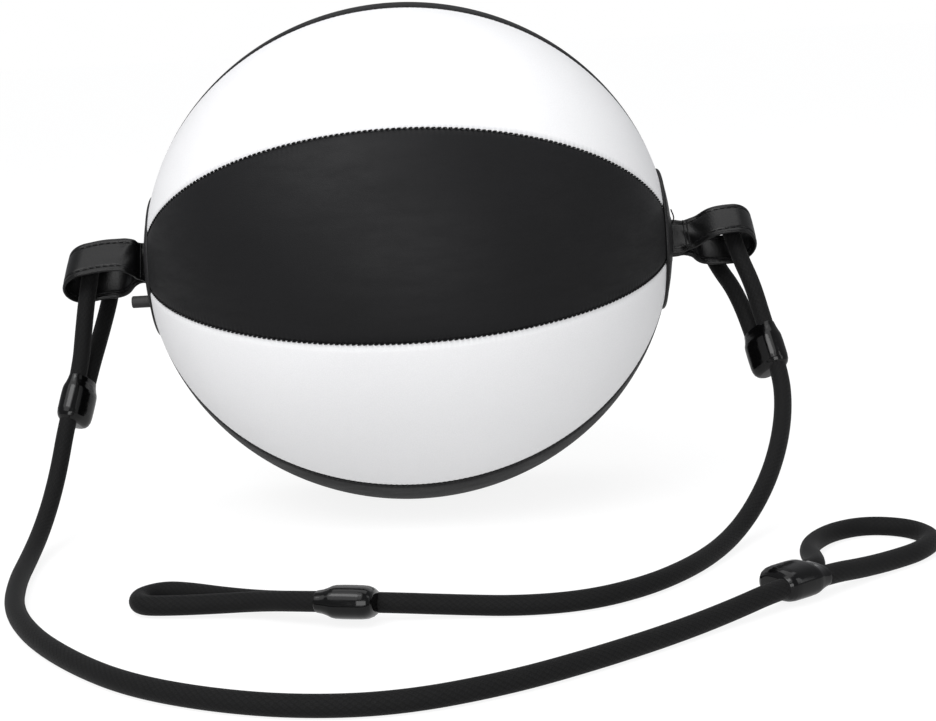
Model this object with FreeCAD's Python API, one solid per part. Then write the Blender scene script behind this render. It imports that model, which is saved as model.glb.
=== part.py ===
"""Double-end punching ball: an air-filled leather ball slung between two elastic cords.

Frame: +X along the ball's polar axis, +Z up, origin where the ball touches the floor.
All lengths in millimetres, angles in degrees.
"""
import FreeCAD, Part
import math
import os

Vector = FreeCAD.Vector
os.makedirs("parts", exist_ok=True)

# ---- the ball ----
BALL_RADIUS = 103.0          # half width across the polar axis
BALL_HALF_LENGTH = 110.0     # centre to pole, along X
PANEL_LEATHER = 1.6
LINING_CLOTH = 1.0
SEAM_GAP = 0.5               # groove between two sewn panels
PANEL_TILT = 10.7            # middle of the front panel above the horizontal
PANELS = ["panel_front_black", "panel_upper_front_white", "panel_top_black", "panel_upper_back_white",
          "panel_back_black", "panel_lower_back_white", "panel_bottom_black", "panel_lower_front_white"]

# ---- bladder and valve ----
BLADDER_WALL = 1.4
BLADDER_POLE = 103.9         # flat of the bladder's end, from the ball's centre
VALVE_RADIUS = 2.5
VALVE_PLACE = (-9.0, -13.3)  # Y and Z of the valve from the polar axis
VALVE_TIP = 115.5            # from the ball's centre, along -X
VALVE_FLANGE_RADIUS = 4.0
VALVE_FLANGE_THICKNESS = 1.1
VALVE_CORE_RADIUS = 1.3

# ---- pole caps, backing discs and the anchors sewn on the strap ends ----
CAP_RADIUS = 29.5
CAP_LEATHER = 1.8
CAP_DOME = 3.2               # height of the cap's middle over the panels
STRAP_HOLE_RADIUS = 9.4
BACKING_RADIUS = 25.0
ANCHOR_RADIUS = 11.2
ANCHOR_FACE = 106.1          # outer face of the anchor, from the ball's centre
ANCHOR_LEATHER = 1.8

# ---- leather strap loops ----
STRAP_WIDTH = 17.5
STRAP_LEATHER = 1.8
STRAP_REACH = 144.5          # outermost point, from the ball's centre
STRAP_HALF_DEPTH = 10.0      # outside of a loop's side wall from its middle plane
NECK_END = 114.0             # where the two plies of the neck part
WALL_START = 127.0           # where the side walls run straight
STRAP_TILT = {"left": 48.0, "right": 60.0}   # lower edge of each loop turned to the front

# ---- elastic cords and their moulded ferrules ----
CORD_DIAMETER = 7.0
FERRULE_LENGTH = 23.0
FERRULE_TAPER = 6.8
FERRULE_CHAMFER = 4.0
FERRULE_HALF_WIDTH = 9.3
FERRULE_HALF_THICKNESS = 6.4
THROAT_HALF_WIDTH = 8.3
THROAT_HALF_THICKNESS = 4.6
END_HALF_WIDTH = 8.2
END_HALF_THICKNESS = 5.3

# Route of each cord, from the tail in its upper ferrule, over the strap loop's rear wall,
# back through the ferrule, down to the floor and round the end loop into the end ferrule.
LEFT_ROUTE = [
    (-139.8, -19.6, 43.8), (-135.7, -9.8, 60.9), (-132.0, 2.2, 75.0), (-128.8, 13.0, 88.6),
    (-127.5, 17.9, 97.6), (-130.0, 16.5, 107.0), (-132.5, 7.8, 109.9), (-133.2, 0.5, 103.5),
    (-134.6, -7.8, 91.0), (-136.3, -12.0, 78.0), (-137.9, -15.8, 64.9), (-143.4, -29.0, 41.9),
    (-145.3, -38.5, 28.5), (-147.2, -51.0, 17.0), (-148.8, -66.5, 8.5), (-149.3, -85.0, 4.2),
    (-147.5, -112.0, 3.5), (-141.5, -144.0, 3.5), (-128.0, -174.0, 3.5), (-109.0, -201.0, 3.5),
    (-88.0, -223.0, 3.5), (-62.0, -239.0, 3.5), (-34.0, -249.0, 3.5), (-5.0, -250.5, 3.5),
    (26.0, -240.0, 3.5), (55.0, -223.0, 3.5), (82.0, -204.0, 3.5), (102.0, -189.5, 4.6),
    (117.7, -178.6, 6.5), (139.9, -163.3, 6.5), (153.0, -153.0, 4.4), (166.0, -143.5, 3.5),
    (178.5, -134.5, 3.5), (187.0, -121.5, 3.5), (182.0, -106.5, 3.5), (167.5, -100.0, 3.5),
    (153.5, -105.5, 3.5), (143.5, -117.0, 3.5), (138.8, -130.5, 3.9), (138.3, -144.5, 5.2),
    (135.6, -157.1, 6.5), (119.1, -168.4, 6.5)]
RIGHT_ROUTE = [
    (143.3, -26.4, 50.9), (140.3, -14.6, 66.6), (136.2, -2.5, 80.0), (131.8, 8.8, 87.5),
    (128.5, 16.5, 95.1), (130.6, 16.6, 104.6), (133.6, 8.4, 109.2), (135.6, 0.0, 104.2),
    (138.0, -8.8, 93.7), (141.6, -14.4, 84.0), (144.6, -19.2, 70.9), (148.6, -35.2, 49.5),
    (147.0, -48.5, 39.5), (142.3, -64.0, 29.5), (135.2, -80.0, 20.0), (126.5, -94.0, 11.5),
    (117.0, -107.0, 5.5), (106.0, -124.0, 3.5), (93.0, -142.0, 3.5), (77.0, -157.5, 3.5),
    (57.0, -168.5, 3.5), (34.0, -170.5, 3.5), (12.0, -167.3, 4.2), (-9.8, -167.1, 6.15),
    (-36.1, -161.1, 6.15), (-51.5, -152.8, 4.4), (-67.0, -143.8, 3.6), (-81.8, -134.9, 3.5),
    (-91.0, -132.2, 3.5), (-98.6, -138.8, 3.7), (-96.6, -148.8, 4.0), (-86.0, -151.5, 4.2),
    (-70.0, -153.4, 4.6), (-53.0, -158.0, 6.2), (-37.7, -168.1, 8.55), (-18.2, -172.6, 8.55)]

# Each ferrule: node, cord side, middle of its throat, a point on its axis towards the closed end,
# and a point to the side of the throat in the plane of the two strands.
FERRULES = [
    ("left_upper_ferrule", "left", (-137.4, -14.3, 60.3), (-142.3, -26.0, 39.9), (-138.5, -17.3, 62.3)),
    ("left_end_ferrule", "left", (135.3, -161.9, 6.5), (116.5, -174.8, 6.5), (137.4, -165.0, 6.5)),
    ("right_upper_ferrule", "right", (142.9, -18.7, 66.4), (146.5, -32.9, 47.4), (145.0, -21.0, 68.5)),
    ("right_end_ferrule", "right", (-34.0, -165.3, 7.35), (-12.5, -170.2, 7.35), (-33.2, -161.8, 6.15))]

EVERY_WAY = 400.0            # larger than the whole object


def save(shape, node):
    """Write one piece to its own STEP file."""
    shape.exportStep("parts/" + node + ".step")


def on_ball(shape):
    """Lift a shape made about the ball's centre to its place over the floor."""
    return shape.translated(Vector(0, 0, BALL_RADIUS))


def half_ellipse(inset, end_radius):
    """Meridian arc a given depth under the ball's surface, ending at end_radius from the polar axis."""
    major = BALL_HALF_LENGTH - inset
    minor = BALL_RADIUS - inset
    ellipse = Part.Ellipse(Vector(major, 0, 0), Vector(0, 0, minor), Vector(0, 0, 0))
    start = math.asin(end_radius / minor)
    return Part.Arc(ellipse, start, math.pi - start).toShape()


def pole_arc(inset, inner_radius, outer_radius):
    """Part of the same meridian near the +X pole, between two distances from the polar axis."""
    major = BALL_HALF_LENGTH - inset
    minor = BALL_RADIUS - inset
    ellipse = Part.Ellipse(Vector(major, 0, 0), Vector(0, 0, minor), Vector(0, 0, 0))
    return Part.Arc(ellipse, math.asin(inner_radius / minor), math.asin(outer_radius / minor)).toShape()


def ends(edge):
    return edge.valueAt(edge.FirstParameter), edge.valueAt(edge.LastParameter)


def face_between(outer, inner):
    """Flat face between two arcs that run the same way, closed by a straight line at each end."""
    outer_start, outer_end = ends(outer)
    inner_start, inner_end = ends(inner)
    edges = [outer, Part.makeLine(outer_end, inner_end), inner, Part.makeLine(inner_start, outer_start)]
    return Part.Face(Part.Wire(Part.__sortEdges__(edges)))


def turned(face):
    """Solid of revolution about the polar axis."""
    return face.revolve(Vector(0, 0, 0), Vector(1, 0, 0), 360)


def shell(depth, thickness, pole_radius):
    """Closed layer of the ball with a round opening at each pole."""
    return turned(face_between(half_ellipse(depth, pole_radius), half_ellipse(depth + thickness, pole_radius)))


def panel_wedge(middle):
    """Long wedge that cuts one panel out of a shell, held back from both seams by half the gap."""
    half_angle = math.radians(180.0 / len(PANELS))
    apex = SEAM_GAP / 2 / math.sin(half_angle)
    reach = 2 * BALL_RADIUS
    corners = [Vector(-EVERY_WAY / 2, -apex, 0),
               Vector(-EVERY_WAY / 2, -apex - reach, reach * math.tan(half_angle)),
               Vector(-EVERY_WAY / 2, -apex - reach, -reach * math.tan(half_angle))]
    wedge = Part.Face(Part.makePolygon(corners + corners[:1])).extrude(Vector(EVERY_WAY, 0, 0))
    wedge.rotate(Vector(0, 0, 0), Vector(1, 0, 0), -middle)
    return wedge


def valve_cylinder(radius, start, end):
    """Cylinder on the valve's axis, between two distances from the ball's centre on the -X side."""
    y, z = VALVE_PLACE
    return Part.makeCylinder(radius, end - start, Vector(-end, y, z), Vector(1, 0, 0))


def make_panels(valve):
    leather = shell(0, PANEL_LEATHER, STRAP_HOLE_RADIUS)
    step = 360.0 / len(PANELS)
    leather.rotate(Vector(0, 0, 0), Vector(1, 0, 0), 90 - PANEL_TILT - 1.5 * step)
    for number, node in enumerate(PANELS):
        panel = leather.common(panel_wedge(PANEL_TILT + number * step)).cut(valve)
        save(on_ball(panel), node)


def make_lining():
    save(on_ball(shell(PANEL_LEATHER, LINING_CLOTH, BACKING_RADIUS)), "lining")


def bladder_body(wall):
    """Ball a given distance inside the bladder's outside, flat at both poles."""
    depth = PANEL_LEATHER + LINING_CLOTH + wall
    flat = BLADDER_POLE - wall
    major = BALL_HALF_LENGTH - depth
    minor = BALL_RADIUS - depth
    flat_radius = minor * math.sqrt(1 - (flat / major) ** 2)
    arc = half_ellipse(depth, flat_radius)
    start, end = ends(arc)
    outline = [arc, Part.makeLine(end, Vector(end.x, 0, 0)), Part.makeLine(Vector(end.x, 0, 0), Vector(start.x, 0, 0)),
               Part.makeLine(Vector(start.x, 0, 0), start)]
    return turned(Part.Face(Part.Wire(Part.__sortEdges__(outline))))


def make_bladder():
    save(on_ball(bladder_body(0).cut(bladder_body(BLADDER_WALL))), "bladder")


def make_valve():
    """Rubber stem with a flange on the bladder, and the soft core that seals it."""
    flange = valve_cylinder(VALVE_FLANGE_RADIUS, BLADDER_POLE, BLADDER_POLE + VALVE_FLANGE_THICKNESS)
    stem = valve_cylinder(VALVE_RADIUS, BLADDER_POLE, VALVE_TIP)
    tip_edge = [e for e in stem.Edges if abs(e.CenterOfMass.x + VALVE_TIP) < 0.01 and e.Curve.TypeId == "Part::GeomCircle"]
    stem = stem.makeFillet(0.6, tip_edge).fuse(flange).removeSplitter()
    core = valve_cylinder(VALVE_CORE_RADIUS, BLADDER_POLE + 0.5, VALVE_TIP - 0.5)
    mouth = valve_cylinder(VALVE_CORE_RADIUS, BLADDER_POLE + 0.5, VALVE_TIP + 0.5)
    save(on_ball(stem.cut(mouth)), "valve_stem")
    save(on_ball(core), "valve_core")


def right_and_left(shape):
    return {"right": shape, "left": shape.mirror(Vector(0, 0, 0), Vector(1, 0, 0))}


def make_caps(valve):
    """Domed leather disc over the panel ends, and the disc that backs it inside the ball."""
    inner = pole_arc(0, STRAP_HOLE_RADIUS, CAP_RADIUS)
    inner_start, inner_end = ends(inner)
    rim = Vector(inner_end.x + CAP_LEATHER * 0.97, 0, inner_end.z + CAP_LEATHER * 0.25)
    middle_radius = 0.62 * CAP_RADIUS
    middle = Vector(BALL_HALF_LENGTH - 0.4 + 0.62 * CAP_DOME, 0, middle_radius)
    hole_edge = Vector(BALL_HALF_LENGTH + CAP_DOME, 0, STRAP_HOLE_RADIUS)
    dome = Part.Arc(hole_edge, middle, rim).toShape()
    outline = [inner, Part.makeLine(inner_end, rim), dome, Part.makeLine(hole_edge, inner_start)]
    caps = right_and_left(turned(Part.Face(Part.Wire(Part.__sortEdges__(outline)))))
    backings = right_and_left(turned(face_between(pole_arc(PANEL_LEATHER, STRAP_HOLE_RADIUS, BACKING_RADIUS),
                                                  pole_arc(PANEL_LEATHER + LINING_CLOTH, STRAP_HOLE_RADIUS,
                                                           BACKING_RADIUS))))
    for side in ("left", "right"):
        save(on_ball(caps[side].cut(valve)), side + "_pole_cap")
        save(on_ball(backings[side].cut(valve)), side + "_backing_disc")


def flare(offset):
    """Edges of a strap loop's side from the neck to the straight wall, offset from the leather's
    middle: two equal tangent arcs that make an S. Z is the distance from the loop's middle plane."""
    rise = STRAP_HALF_DEPTH - STRAP_LEATHER
    run = WALL_START - NECK_END
    angle = 2 * math.atan2(rise, run)
    radius = run / 2 / math.sin(angle)
    neck = STRAP_LEATHER / 2
    first_centre = Vector(NECK_END, 0, neck + radius)
    second_centre = Vector(WALL_START, 0, neck + rise - radius)
    first = []
    second = []
    for part in (0.0, 0.5, 1.0):
        turn = angle * part
        r = radius - offset
        first.append(first_centre + Vector(r * math.sin(turn), 0, -r * math.cos(turn)))
        turn = angle * (1 - part)
        r = radius + offset
        second.append(second_centre + Vector(-r * math.sin(turn), 0, r * math.cos(turn)))
    return Part.Arc(*first).toShape(), Part.Arc(*second).toShape()


def loop_half(offset, start):
    """Edges of one half of a strap loop's outline, from a start point to the outermost point."""
    first, second = flare(offset)
    half_depth = STRAP_HALF_DEPTH - STRAP_LEATHER / 2 + offset
    centre_x = STRAP_REACH - STRAP_HALF_DEPTH
    wall = Part.makeLine(Vector(WALL_START, 0, half_depth), Vector(centre_x, 0, half_depth))
    diagonal = half_depth * math.sqrt(0.5)
    end = Part.Arc(Vector(centre_x, 0, half_depth), Vector(centre_x + diagonal, 0, diagonal),
                   Vector(centre_x + half_depth, 0, 0)).toShape()
    edges = [first, second, wall, end]
    if start is not None:
        edges.insert(0, Part.makeLine(start, ends(first)[0]))
    return edges


def mirrored(edges):
    return [edge.mirror(Vector(0, 0, 0), Vector(0, 0, 1)) for edge in edges]


def make_strap(side):
    """One leather strip folded into a loop, its two plies sewn together at the neck, with the
    ends spread on a round anchor behind the pole."""
    half_leather = STRAP_LEATHER / 2
    neck_root = Vector(ANCHOR_FACE, 0, STRAP_LEATHER)
    upper = loop_half(half_leather, neck_root)
    foot = Part.makeLine(neck_root, Vector(ANCHOR_FACE, 0, -STRAP_LEATHER))
    outside = Part.Wire(Part.__sortEdges__(upper + mirrored(upper) + [foot]))
    inner = loop_half(-half_leather, None)
    split = 0.15
    inner_radius = inner[0].Curve.Radius
    cut_x = NECK_END + math.sqrt(inner_radius ** 2 - (inner_radius - split) ** 2)
    start = ends(inner[0])[0]
    inner[0] = trimmed_arc(inner[0], cut_x, split, inner_radius)
    closing = Part.makeLine(Vector(cut_x, 0, split), Vector(cut_x, 0, -split))
    inside = Part.Wire(Part.__sortEdges__(inner + mirrored(inner) + [closing]))
    strip = Part.Face(outside).extrude(Vector(0, STRAP_WIDTH, 0))
    hollow = Part.Face(inside).extrude(Vector(0, STRAP_WIDTH, 0))
    strap = strip.cut(hollow).translated(Vector(0, -STRAP_WIDTH / 2, 0))
    anchor = Part.makeCylinder(ANCHOR_RADIUS, ANCHOR_LEATHER, Vector(ANCHOR_FACE - ANCHOR_LEATHER, 0, 0), Vector(1, 0, 0))
    strap.rotate(Vector(0, 0, 0), Vector(1, 0, 0), 90)
    strap.rotate(Vector(0, 0, 0), Vector(1, 0, 0), -STRAP_TILT[side])
    save(on_ball(right_and_left(strap)[side]), side + "_strap")
    save(on_ball(right_and_left(anchor)[side]), side + "_strap_anchor")


def trimmed_arc(arc, start_x, start_z, radius):
    """The same arc with its first point moved along it."""
    start, end = ends(arc)
    centre = Vector(NECK_END, 0, radius)
    first_angle = math.atan2(start_x - centre.x, centre.z - start_z)
    last_angle = math.atan2(end.x - centre.x, centre.z - end.z)
    middle = (first_angle + last_angle) / 2
    point = centre + Vector(radius * math.sin(middle), 0, -radius * math.cos(middle))
    return Part.Arc(Vector(start_x, 0, start_z), point, end).toShape()


def rounded_path(points):
    """Straight runs joined by tangent arcs, each as large as its two runs allow."""
    corners = [Vector(*point) for point in points]
    edges = []
    radii = []
    last = corners[0]
    for before, corner, after in zip(corners, corners[1:], corners[2:]):
        way_in = (corner - before).normalize()
        way_out = (after - corner).normalize()
        half_turn = way_in.getAngle(way_out) / 2
        tangent = 0.45 * min(before.distanceToPoint(corner), corner.distanceToPoint(after))
        radius = tangent / math.tan(half_turn)
        start = corner - way_in * tangent
        end = corner + way_out * tangent
        inwards = (way_out - way_in).normalize()
        middle = corner + inwards * (radius / math.cos(half_turn) - radius)
        edges.append(Part.LineSegment(last, start).toShape())
        edges.append(Part.Arc(start, middle, end).toShape())
        radii.append(radius)
        last = end
    edges.append(Part.LineSegment(last, corners[-1]).toShape())
    return Part.Wire(edges), radii


def make_cord(side, route):
    """One elastic cord as a plain tube from end to end."""
    path, radii = rounded_path(route)
    first_run = (Vector(*route[1]) - Vector(*route[0])).normalize()
    ring = Part.Wire(Part.makeCircle(CORD_DIAMETER / 2, Vector(*route[0]), first_run))
    tube = path.makePipeShell([ring], True, False)
    expected = math.pi * CORD_DIAMETER ** 2 / 4 * path.Length
    print(side + "_cord length", round(path.Length, 1), "volume over section times length",
          round(tube.Volume / expected, 4), "radii", [round(radius, 1) for radius in radii])
    save(tube, side + "_cord")
    return tube


def stadium(centre, along, wide, half_width, half_thickness):
    """Wire with two straight sides and two round ends, square to the ferrule's axis."""
    thick = along.cross(wide).normalize()
    straight = wide * (half_width - half_thickness)
    side = thick * half_thickness
    end = wide * half_width
    corners = [centre - straight + side, centre + straight + side, centre + straight - side, centre - straight - side]
    edges = [Part.makeLine(corners[0], corners[1]), Part.Arc(corners[1], centre + end, corners[2]).toShape(),
             Part.makeLine(corners[2], corners[3]), Part.Arc(corners[3], centre - end, corners[0]).toShape()]
    return Part.Wire(edges)


def make_ferrule(node, cord, throat, axis_point, side_point):
    """Moulded sleeve on two strands: tapered at its throat, chamfered at the end where only the
    standing strand comes out, closed over the cord's tail."""
    throat = Vector(*throat)
    along = (Vector(*axis_point) - throat).normalize()
    wide = Vector(*side_point) - throat
    wide = (wide - along * wide.dot(along)).normalize()
    sections = [(0.0, THROAT_HALF_WIDTH, THROAT_HALF_THICKNESS),
                (FERRULE_TAPER, FERRULE_HALF_WIDTH, FERRULE_HALF_THICKNESS),
                (FERRULE_LENGTH - FERRULE_CHAMFER, FERRULE_HALF_WIDTH, FERRULE_HALF_THICKNESS),
                (FERRULE_LENGTH, END_HALF_WIDTH, END_HALF_THICKNESS)]
    wires = [stadium(throat + along * place, along, wide, width, thickness) for place, width, thickness in sections]
    sleeve = Part.makeLoft(wires, True, True).cut(cord)
    print(node, "solids", len(sleeve.Solids), "volume", round(sleeve.Volume))
    save(sleeve, node)


def main():
    valve = valve_cylinder(VALVE_RADIUS, BLADDER_POLE, VALVE_TIP)
    make_panels(valve)
    make_lining()
    make_bladder()
    make_valve()
    make_caps(valve)
    for side in ("left", "right"):
        make_strap(side)
    cords = {"left": make_cord("left", LEFT_ROUTE), "right": make_cord("right", RIGHT_ROUTE)}
    for node, side, throat, axis_point, side_point in FERRULES:
        make_ferrule(node, cords[side], throat, axis_point, side_point)


main()
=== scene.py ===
"""Dresses a double-end punching ball: leather panels, pole caps, strap loops, woven cords and ferrules.

Everything is in metres in the frame of the CAD model: +X along the ball's polar axis, +Y to the
back, +Z up, with the origin where the ball touches the floor.
"""
import math

import bpy
import numpy as np
from bpy.props import FloatProperty, FloatVectorProperty, PointerProperty
from mathutils import Matrix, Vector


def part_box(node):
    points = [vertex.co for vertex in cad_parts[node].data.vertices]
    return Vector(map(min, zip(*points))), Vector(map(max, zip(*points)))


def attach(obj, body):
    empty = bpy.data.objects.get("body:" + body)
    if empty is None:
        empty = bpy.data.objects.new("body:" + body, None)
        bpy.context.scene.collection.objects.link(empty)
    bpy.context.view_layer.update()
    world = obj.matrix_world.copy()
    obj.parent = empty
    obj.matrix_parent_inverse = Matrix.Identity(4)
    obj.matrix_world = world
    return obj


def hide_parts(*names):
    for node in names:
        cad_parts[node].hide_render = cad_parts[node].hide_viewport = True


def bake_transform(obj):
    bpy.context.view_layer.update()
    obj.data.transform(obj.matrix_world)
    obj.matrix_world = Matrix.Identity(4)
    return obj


bl_info = {
    "name": "Punching Ball Dresser",
    "version": (1, 0, 0),
    "blender": (4, 5, 0),
    "location": "View3D > Sidebar > Punching Ball",
    "description": "Leather, stitching, cords and ferrules for a double-end punching ball",
    "category": "Object",
}

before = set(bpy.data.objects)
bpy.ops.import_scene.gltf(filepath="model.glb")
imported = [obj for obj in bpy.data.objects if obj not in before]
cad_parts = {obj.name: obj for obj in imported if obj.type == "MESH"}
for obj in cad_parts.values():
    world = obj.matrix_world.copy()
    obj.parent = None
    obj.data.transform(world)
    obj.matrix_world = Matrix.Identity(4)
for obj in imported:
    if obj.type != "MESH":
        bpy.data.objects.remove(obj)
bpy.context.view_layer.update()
BALL_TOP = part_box("panel_top_black")[1].z
STRAP_END = {"left": -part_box("left_strap")[0].x, "right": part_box("right_strap")[1].x}

# Panels in turn round the polar axis, starting at the front and going up.
PANELS = ["panel_front_black", "panel_upper_front_white", "panel_top_black", "panel_upper_back_white",
          "panel_back_black", "panel_lower_back_white", "panel_bottom_black", "panel_lower_front_white"]

# Route of each cord, from the tail in its upper ferrule, over the strap loop's rear wall,
# back through the ferrule, down to the floor and round the end loop into the end ferrule.
CORD_ROUTES = {
    "left": [(-0.1398, -0.0196, 0.0438), (-0.1357, -0.0098, 0.0609), (-0.132, 0.0022, 0.075),
        (-0.1288, 0.013, 0.0886), (-0.1275, 0.0179, 0.0976), (-0.13, 0.0165, 0.107),
        (-0.1325, 0.0078, 0.1099), (-0.1332, 0.0005, 0.1035), (-0.1346, -0.0078, 0.091),
        (-0.1363, -0.012, 0.078), (-0.1379, -0.0158, 0.0649), (-0.1434, -0.029, 0.0419),
        (-0.1453, -0.0385, 0.0285), (-0.1472, -0.051, 0.017), (-0.1488, -0.0665, 0.0085),
        (-0.1493, -0.085, 0.0042), (-0.1475, -0.112, 0.0035), (-0.1415, -0.144, 0.0035),
        (-0.128, -0.174, 0.0035), (-0.109, -0.201, 0.0035), (-0.088, -0.223, 0.0035),
        (-0.062, -0.239, 0.0035), (-0.034, -0.249, 0.0035), (-0.005, -0.2505, 0.0035),
        (0.026, -0.24, 0.0035), (0.055, -0.223, 0.0035), (0.082, -0.204, 0.0035),
        (0.102, -0.1895, 0.0046), (0.1177, -0.1786, 0.0065), (0.1399, -0.1633, 0.0065),
        (0.153, -0.153, 0.0044), (0.166, -0.1435, 0.0035), (0.1785, -0.1345, 0.0035),
        (0.187, -0.1215, 0.0035), (0.182, -0.1065, 0.0035), (0.1675, -0.1, 0.0035),
        (0.1535, -0.1055, 0.0035), (0.1435, -0.117, 0.0035), (0.1388, -0.1305, 0.0039),
        (0.1383, -0.1445, 0.0052), (0.1356, -0.1571, 0.0065), (0.1191, -0.1684, 0.0065)],
    "right": [(0.1433, -0.0264, 0.0509), (0.1403, -0.0146, 0.0666), (0.1362, -0.0025, 0.08),
        (0.1318, 0.0088, 0.0875), (0.1285, 0.0165, 0.0951), (0.1306, 0.0166, 0.1046),
        (0.1336, 0.0084, 0.1092), (0.1356, 0, 0.1042), (0.138, -0.0088, 0.0937),
        (0.1416, -0.0144, 0.084), (0.1446, -0.0192, 0.0709), (0.1486, -0.0352, 0.0495),
        (0.147, -0.0485, 0.0395), (0.1423, -0.064, 0.0295), (0.1352, -0.08, 0.02),
        (0.1265, -0.094, 0.0115), (0.117, -0.107, 0.0055), (0.106, -0.124, 0.0035),
        (0.093, -0.142, 0.0035), (0.077, -0.1575, 0.0035), (0.057, -0.1685, 0.0035),
        (0.034, -0.1705, 0.0035), (0.012, -0.1673, 0.0042), (-0.0098, -0.1671, 0.00615),
        (-0.0361, -0.1611, 0.00615), (-0.0515, -0.1528, 0.0044), (-0.067, -0.1438, 0.0036),
        (-0.0818, -0.1349, 0.0035), (-0.091, -0.1322, 0.0035), (-0.0986, -0.1388, 0.0037),
        (-0.0966, -0.1488, 0.004), (-0.086, -0.1515, 0.0042), (-0.07, -0.1534, 0.0046),
        (-0.053, -0.158, 0.0062), (-0.0377, -0.1681, 0.00855), (-0.0182, -0.1726, 0.00855)],
}

# Stitching of a pole cap: its distance from the rim, the depth of its groove and its stitches.
CAP_SEAM = 0.0042
CAP_GROOVE = 0.0005
CAP_STITCHES = 56

# Along the polar axis, from the ball's centre: where a strap's leather starts inside its hole, and
# where its loop starts to hang freely.
STRAP_ROOT = 0.1056
LOOP_START = 0.122

# Distance of a strap's sewn groove from its edge, and how far its corners are rounded.
STRAP_SEAM = 0.0025
STRAP_EDGE = 0.0008

# Each ferrule: the middle of its throat, a point on its axis towards the closed end, and a point
# beside the throat in the plane of its two strands.
FERRULES = {
    "left_upper_ferrule": ((-0.1374, -0.0143, 0.0603), (-0.1423, -0.026, 0.0399),
                           (-0.1385, -0.0173, 0.0623)),
    "left_end_ferrule": ((0.1353, -0.1619, 0.0065), (0.1165, -0.1748, 0.0065), (0.1374, -0.165, 0.0065)),
    "right_upper_ferrule": ((0.1429, -0.0187, 0.0664), (0.1465, -0.0329, 0.0474),
                            (0.145, -0.021, 0.0685)),
    "right_end_ferrule": ((-0.034, -0.1653, 0.00735), (-0.0125, -0.1702, 0.00735),
                          (-0.0332, -0.1618, 0.00615)),
}


def metres(name, default, description):
    """Property for a length in metres."""
    return FloatProperty(name=name, description=description, default=default, unit="LENGTH")


def degrees(name, default, description):
    """Property for an angle, with its default given in degrees."""
    return FloatProperty(name=name, description=description, default=math.radians(default),
                         subtype="ANGLE")


def swatch(name, default, description):
    """Property for a colour."""
    return FloatVectorProperty(name=name, description=description, default=default,
                               subtype="COLOR", size=3)


class BallSizes(bpy.types.PropertyGroup):
    """Sizes of the ball's leather panels, caps and stitching"""
    half_length: metres("Half Length", 0.1089, "Centre of the ball to each pole")
    radius: metres("Radius", BALL_TOP / 2, "Half the ball's width across its polar axis")
    tilt: degrees("Panel Tilt", 10.7, "Middle of the front panel above the horizontal")
    leather: metres("Leather", 0.0016, "Thickness of a panel")
    seam_depth: metres("Seam Depth", 0.0006, "How far the panels dip at a seam")
    stitch_pitch: metres("Stitch Pitch", 0.0021, "Distance between two stitches of a seam")
    hole: metres("Strap Hole", 0.0094, "Radius of the round hole at each pole")
    cap: metres("Cap Radius", 0.0295, "Radius of the round leather cap at each pole")
    left_rise: metres("Left Cap Rise", 0.0006, "How far the left cap stands off the panels")
    right_rise: metres("Right Cap Rise", 0.0012, "How far the right cap stands off the panels")


class StrapSizes(bpy.types.PropertyGroup):
    """Sizes of the two leather strap loops"""
    width: metres("Width", 0.0175, "Width of the leather strip")
    leather: metres("Leather", 0.0018, "Thickness of the strip")
    half_depth: metres("Half Depth", 0.0095, "Outside of a side wall from the loop's middle")
    left_neck: metres("Left Neck End", 0.1092, "Where the left neck's two plies part")
    left_wall: metres("Left Front Wall", 0.1182, "Where the left loop's front runs straight")
    left_rear: metres("Left Rear Wall", 0.1240, "Where the left loop's rear runs straight")
    right_neck: metres("Right Neck End", 0.1130, "Where the right neck's two plies part")
    right_wall: metres("Right Front Wall", 0.1345, "Where the right loop's front runs straight")
    right_rear: metres("Right Rear Wall", 0.1265, "Where the right loop's rear runs straight")
    left_kick: metres("Left Kick", 0.0, "How far the left loop swings to its front")
    right_kick: metres("Right Kick", 0.0010, "How far the right loop swings to its front")
    left_slant: metres("Left Slant", 0.0014, "How far the left loop's upper edge falls short")
    right_slant: metres("Right Slant", 0.0, "How far the right loop's upper edge falls short")
    left_tilt: degrees("Left Tilt", 48, "Turn of the left loop about the polar axis")
    right_tilt: degrees("Right Tilt", 55, "Turn of the right loop about the polar axis")
    left_neck_tilt: degrees("Left Neck Tilt", 20, "Turn of the left neck where it leaves the ball")
    right_neck_tilt: degrees("Right Neck Tilt", 42, "Turn of the right neck where it leaves the ball")
    left_droop: metres("Left Droop", 0.0030, "How far the left loop's end slides down its own width")
    right_droop: metres("Right Droop", 0.0004, "How far the right loop's end slides down its own width")
    left_slack: metres("Left Slack", -0.0004, "How far the left loop hangs beyond its solid")
    right_slack: metres("Right Slack", 0.0008, "How far the right loop hangs beyond its solid")
    left_lift: metres("Left Lift", 0.0018, "How far the left neck rides up just outside its hole")
    right_lift: metres("Right Lift", 0.0, "How far the right neck rides up just outside its hole")


class CordSizes(bpy.types.PropertyGroup):
    """Sizes of the elastic cords and their moulded ferrules"""
    diameter: metres("Diameter", 0.0070, "Thickness of the woven cord")
    left_length: metres("Left Length", 0.830, "Length of the left cord, with its two loops")
    right_length: metres("Right Length", 0.592, "Length of the right cord, with its two loops")
    ferrule: metres("Ferrule", 0.0200, "Length of a ferrule")


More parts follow.
